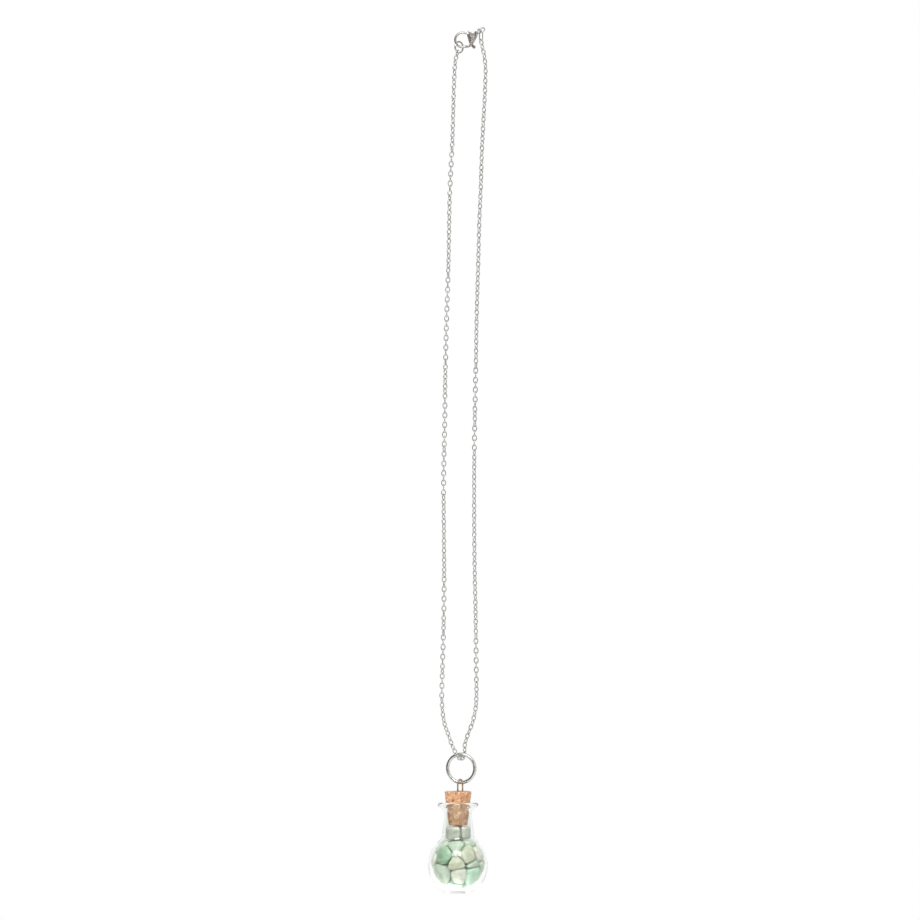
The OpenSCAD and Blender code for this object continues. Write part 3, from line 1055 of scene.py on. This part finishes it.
@dataclass
class CorkStopper:
    """The tapered cork and the wire eye that is pushed into it."""

    foot: Point = FOOT
    bottom_h: float = 23.7
    length: float = 12.1
    bottom_d: float = 6.8
    top_d: float = 9.8
    sides: int = 72
    rim_round: float = 0.3
    voxel: float = 0.16
    rounds: int = 2
    # The pits'' texture, how large they are and how far they sink the surface
    pits: tuple[tuple[str, float, float], ...] = (("VORONOI", 0.75, -0.22), ("CLOUDS", 0.5, -0.1))
    eye_w: float = 2.5
    eye_wire: float = 0.6
    eye_at: tuple[float, float] = (-0.798, 0.0906)
    eye_top: float = -261.0
    eye_turn: float = 48
    eye_sides: int = 16
    eye_steps: int = 24
    leg_depth: float = 6.0
    hole_play: float = 0.08
    eye_finish: PolishedSteel = PolishedSteel("bent_eye_wire", "#c4b6a2", "#93826f", 0.3, 0.5)

    def build(self) -> list[Piece]:
        """Builds the cork with its two holes, and the eye."""
        return [self._cork(), self._eye()]

    @property
    def top_z(self) -> float:
        """The height of the cork's top."""
        return self.foot[2] + self.bottom_h + self.length

    def _cork(self) -> Piece:
        """Makes a tapered plug with softened rims, pitted where granules have come out.

        Returns:
            The cork.
        """
        fresh()
        bpy.ops.mesh.primitive_cone_add(vertices=self.sides, radius1=self.bottom_d / 2,
                                        radius2=self.top_d / 2, depth=self.length, end_fill_type="TRIFAN")
        piece = bpy.context.object
        round_edges(piece, self.rim_round, 3)
        tumble(piece, self.voxel, self.rounds)
        for kind, size, depth in self.pits:
            self._pit(piece, kind, size, depth)
        place(piece, (self.foot[0], self.foot[1], self.top_z - self.length / 2))
        for side in (-1, 1):
            self._drill(piece, side * self.eye_w / 2)
        return finished(piece, "cork_stopper", Body.PENDANT, ["cork"],
                        AgglomeratedCork().material(), crease=SHARP)

    def _pit(self, piece: Piece, kind: str, size: float, depth: float) -> None:
        """Sinks the surface by a pattern.

        Args:
            piece: The cork.
            kind: The texture that makes the pattern.
            size: The pattern's size.
            depth: How far it moves the surface outwards, so less than nothing for pits.
        """
        texture = bpy.data.textures.new("cork_" + kind.lower(), kind)
        texture.noise_scale = size
        modify(piece, "DISPLACE", texture=texture, strength=depth, mid_level=0.0, texture_coords="LOCAL")

    def _drill(self, piece: Piece, offset: float) -> None:
        """Cuts one leg's hole into the cork.

        Args:
            piece: The cork.
            offset: How far the leg stands from the eye's middle, along the eye.
        """
        turn = math.radians(self.eye_turn)
        x, y = self.eye_at[0] + offset * math.cos(turn), self.eye_at[1] + offset * math.sin(turn)
        fresh()
        bpy.ops.mesh.primitive_cylinder_add(vertices=self.eye_sides,
                                            radius=self.eye_wire / 2 + self.hole_play,
                                            depth=2 * (self.leg_depth + self.hole_play),
                                            location=(x, y, self.top_z))
        drill = bpy.context.object
        modify(piece, "BOOLEAN", object=drill, operation="DIFFERENCE", solver="EXACT")
        bpy.data.objects.remove(drill)

    def _eye(self) -> Piece:
        """Bends the wire: half a ring over two straight legs in the cork.

        Returns:
            The eye.
        """
        line_r = self.eye_w / 2
        arch_z = self.eye_top - line_r
        leg = arch_z - self.top_z + self.leg_depth
        piece = wire_circle(self.eye_wire, self.eye_sides, (line_r, 0, 0))
        spin(180, self.eye_steps, ORIGIN, (0, -1, 0))
        select_where(piece, lambda co: abs(co.z) < MERGE)
        bpy.ops.mesh.extrude_region_move(TRANSFORM_OT_translate={"value": (0, 0, -leg)})
        close_ends()
        place(piece, (*self.eye_at, arch_z), (0, 0, self.eye_turn))
        return finished(piece, "cork_eye_wire", Body.PENDANT, ["cork_eye"],
                        self.eye_finish.material())


@dataclass
class StoneChips:
    """The heap of tumbled quartz chips that fills the bulb."""

    # Each chip's kind in the order of the nodes, by its place in StoneKind
    kinds: tuple[StoneKind, ...] = tuple(
        list(StoneKind)[k] for k in (0, 1, 2, 3, 4, 3, 1, 4, 1, 3, 1, 2, 1, 1, 1, 1, 2, 1, 2, 1, 3, 1, 2, 1,
                                     1, 3, 1, 1, 4, 1, 1))
    levels: int = 2
    # The solids keep a gap all round, which the tumbled chips close where they touch
    swell: float = 0.14
    dent_mm: float = 1.1
    dent_depth: float = 0.14
    # The last chips lie in the neck, and are greyer than the rest, which is painted shade from the cork above
    # them
    neck_chips: int = 3
    shaded_neck_quartz: TumbledQuartz = TumbledQuartz("neck_quartz_painted_shade", "#a8a89f", "#b7b7ae", "#c6c6bd")

    def build(self) -> list[Piece]:
        """Builds each chip from its solid.

        Returns:
            The chips.
        """
        materials = {kind: quartz.material() for kind, quartz in QUARTZ.items()}
        texture = bpy.data.textures.new("chip_dents", "CLOUDS")
        texture.noise_scale = self.dent_mm
        chosen = [materials[kind] for kind in self.kinds[:-self.neck_chips]]
        chosen += [self.shaded_neck_quartz.material()] * self.neck_chips
        return [self._chip(i + 1, material, texture)
                for i, (kind, material) in enumerate(zip(self.kinds, chosen))]

    def _chip(self, number: int, material: bpy.types.Material,
              texture: bpy.types.Texture) -> Piece:
        """Makes one chip from the solid's skin, tumbled round and slightly dented.

        Args:
            number: The chip's number, from 1.
            material: Its finish.
            texture: The pattern of its dents.

        Returns:
            The chip.
        """
        node = f"stone_{number:02d}"
        piece = copy_of_node(node)
        modify(piece, "SUBSURF", levels=self.levels, render_levels=self.levels)
        modify(piece, "DISPLACE", strength=self.swell, mid_level=0.0)
        modify(piece, "DISPLACE", texture=texture, strength=-self.dent_depth, mid_level=0.3,
               texture_coords="LOCAL")
        return finished(piece, f"chip_{number:02d}", Body.PENDANT, [node], material,
                        crease=FLAT)


# The studio


@dataclass
class Studio:
    """A straight-on product shot: white backdrop, soft light and a long lens.

    Lengths are in metres here. The picture takes in frame_w at the object.
    """

    frame_w: float = 0.322
    look_at: Point = (-0.000875, 0, -0.14917)
    distance: float = 2.2
    sensor: float = 36
    floor_z: float = -0.38
    floor_r: float = 0.6
    floor_sides: int = 96
    # Where the softbox stands, in degrees, and how large and bright it is
    key_azimuth: float = -7.7
    key_height: float = 43
    key_distance: float = 1.4
    key_size: tuple[float, float] = (0.8, 0.55)
    key_power: float = 13
    key_target: Point = (0, 0, -0.25)
    # A card lies under the bottle, out of the picture
    card_at: Point = (-0.016, -0.015, -0.36)
    card_size: tuple[float, float] = (0.055, 0.03)
    card_power: float = 0.045
    # The room's brightness on both sides, and how much of its darkness shows through the glass
    dark_side: float = 0.08
    light_side: float = 1.0
    seen_through: float = 0.35
    bounces: int = 24
    backdrop: float = 1.0

    def build(self) -> None:
        """Sets up camera, light, backdrop and floor."""
        self._camera()
        self._softbox()
        self._low_card()
        self._surroundings()
        self._floor()
        scene = bpy.context.scene
        scene.view_settings.view_transform = "Standard"
        scene.view_settings.look = "None"
        # Light runs round inside the lip and the foot many times before it leaves the glass
        for kind in ("max", "glossy", "transmission"):
            setattr(scene.cycles, kind + "_bounces", self.bounces)

    def _camera(self) -> None:
        """The camera in front, level and straight on."""
        data = bpy.data.cameras.new("camera")
        data.sensor_width = self.sensor
        data.lens = self.sensor * self.distance / self.frame_w
        camera = new_object("camera", data)
        x, y, z = self.look_at
        camera.location = (x, y - self.distance, z)
        camera.rotation_euler = (math.pi / 2, 0, 0)
        bpy.context.scene.camera = camera

    @staticmethod
    def _panel(name: str, size: tuple[float, float], power: float) -> bpy.types.Object:
        """Makes a rectangular light at the origin.

        Args:
            name: Its name.
            size: Its width and height in metres.
            power: Its power in watts.

        Returns:
            The light.
        """
        data = bpy.data.lights.new(name, "AREA")
        data.shape = "RECTANGLE"
        data.size, data.size_y = size
        data.energy = power
        return new_object(name, data)

    def _low_card(self) -> None:
        """A small lit card under the bottle, which shows only as a gleam low on the glass."""
        card = self._panel("low_card", self.card_size, self.card_power)
        card.location = self.card_at
        card.rotation_euler = (math.pi, 0, 0)
        card.visible_camera = card.visible_diffuse = card.visible_transmission = False

    def _softbox(self) -> None:
        """The one softbox, in front of the pendant and above it."""
        azimuth, height = math.radians(self.key_azimuth), math.radians(self.key_height)
        level = math.cos(height)
        way = Vector((math.sin(azimuth) * level, -math.cos(azimuth) * level, math.sin(height)))
        light = self._panel("softbox", self.key_size, self.key_power)
        light.location = Vector(self.key_target) + way * self.key_distance
        light.rotation_euler = (-way).to_track_quat("-Z", "Y").to_euler()

    def _surroundings(self) -> None:
        """White behind the object, and a room that is dark on the left and light on the right."""
        world = bpy.data.worlds.new("studio")
        bpy.context.scene.world = world
        # The room shows in reflections alone, so the world is met by rays and not sampled as a light
        world.cycles.sampling_method = "NONE"
        world.use_nodes = True
        tree = world.node_tree
        tree.nodes.clear()
        way = add_node(tree, "SeparateXYZ", links={"Vector": add_node(tree, "TexCoord").outputs["Generated"]})
        sideways = add_node(tree, "MapRange",
                            {"interpolation_type": "SMOOTHSTEP", "From Min": -0.75, "From Max": 0.75,
                             "To Min": self.dark_side, "To Max": self.light_side},
                            {"Value": way.outputs["X"]})
        path = add_node(tree, "LightPath")
        front = add_node(tree, "MapRange",
                         {"interpolation_type": "SMOOTHSTEP", "From Min": 0.5, "From Max": 0.1},
                         {"Value": way.outputs["Y"]})
        # Rays bent through the glass see only a part of the dark side, so its rims stay pale
        passed = add_node(tree, "MapRange", {"To Min": 1.0, "To Max": self.seen_through},
                          {"Value": path.outputs["Is Transmission Ray"]})
        glossy = add_node(tree, "Math", {"operation": "MULTIPLY"},
                          {0: path.outputs["Is Glossy Ray"], 1: front.outputs["Result"]})
        room = add_node(tree, "Math", {"operation": "MULTIPLY"},
                        {0: glossy.outputs["Value"], 1: passed.outputs["Result"]})
        level = add_node(tree, "Mix", {"A": self.backdrop},
                         {"Factor": room.outputs["Value"], "B": sideways.outputs["Result"]})
        background = add_node(tree, "Background", {"Color": (1, 1, 1, 1)},
                              {"Strength": level.outputs["Result"]})
        add_node(tree, "OutputWorld", links={"Surface": background.outputs["Background"]})

    def _floor(self) -> None:
        """A plain pale disc well below the hanging pendant."""
        fresh()
        bpy.ops.mesh.primitive_circle_add(vertices=self.floor_sides, radius=self.floor_r, fill_type="NGON",
                                          location=(0, 0, self.floor_z))
        floor = bpy.context.object
        floor.name = "floor"
        bpy.ops.object.transform_apply(location=True)
        material, tree = new_material("pale_floor")
        paper = add_node(tree, "TexNoise", {"Scale": 6.0, "Detail": 2.0})
        shade = add_node(tree, "ValToRGB", links={"Fac": paper.outputs["Fac"]},
                         stops=[(0.3, "#f2f2f1"), (0.7, "#f6f6f5")])
        matt = add_node(tree, "BsdfPrincipled", {"Roughness": 0.9}, {"Base Color": shade.outputs["Color"]})
        add_node(tree, "OutputMaterial", links={"Surface": matt.outputs["BSDF"]})
        floor.data.materials.append(material)


def jump_rings() -> list[JumpRing]:
    """Gives the three rings of round wire their sizes, places and turns.

    Returns:
        The rings, not built yet.
    """
    wire = PolishedSteel("jump_ring_steel", "#c6c6c2", "#a3a39f", 0.28, 0.5)
    large = PolishedSteel("pendant_ring_steel", "#c9c9c6", "#afafac", 0.26, 0.8)
    return [
        JumpRing("clasp_jump_ring", "clasp_ring", Body.NECKLACE, "steel", wire, outer_d=2.5, wire_d=0.4,
                 centre=(6.7466, 0, 1.3203), turn=(-45, -23, 0), cut_at=120, sides=14, steps=40),
        JumpRing("end_jump_ring", "end_ring", Body.NECKLACE, "steel", wire, outer_d=4.5, wire_d=0.6,
                 centre=(-1.2, 0, -4.7), turn=(0, 0, 46), cut_at=20, sides=16, steps=52),
        JumpRing("pendant_jump_ring", "pendant_ring", Body.RING, "ring_steel", large, outer_d=11.1,
                 wire_d=1.25, centre=(-0.46, 0, -257.1), turn=(0, 0, -15), cut_at=-68, cut_gap=0.08,
                 sides=28, steps=96, spring=0.12)]


def main() -> None:
    """Builds every piece in order and the studio around them."""
    logging.basicConfig(level=logging.INFO, format="%(name)s: %(message)s")
    Studio().build()
    CableChain().build()
    LongLink().build()
    for ring in jump_rings():
        ring.build()
    LobsterClasp().build()
    GlassBottle().build()
    CorkStopper().build()
    StoneChips().build()


if __name__ == "__main__":
    main()
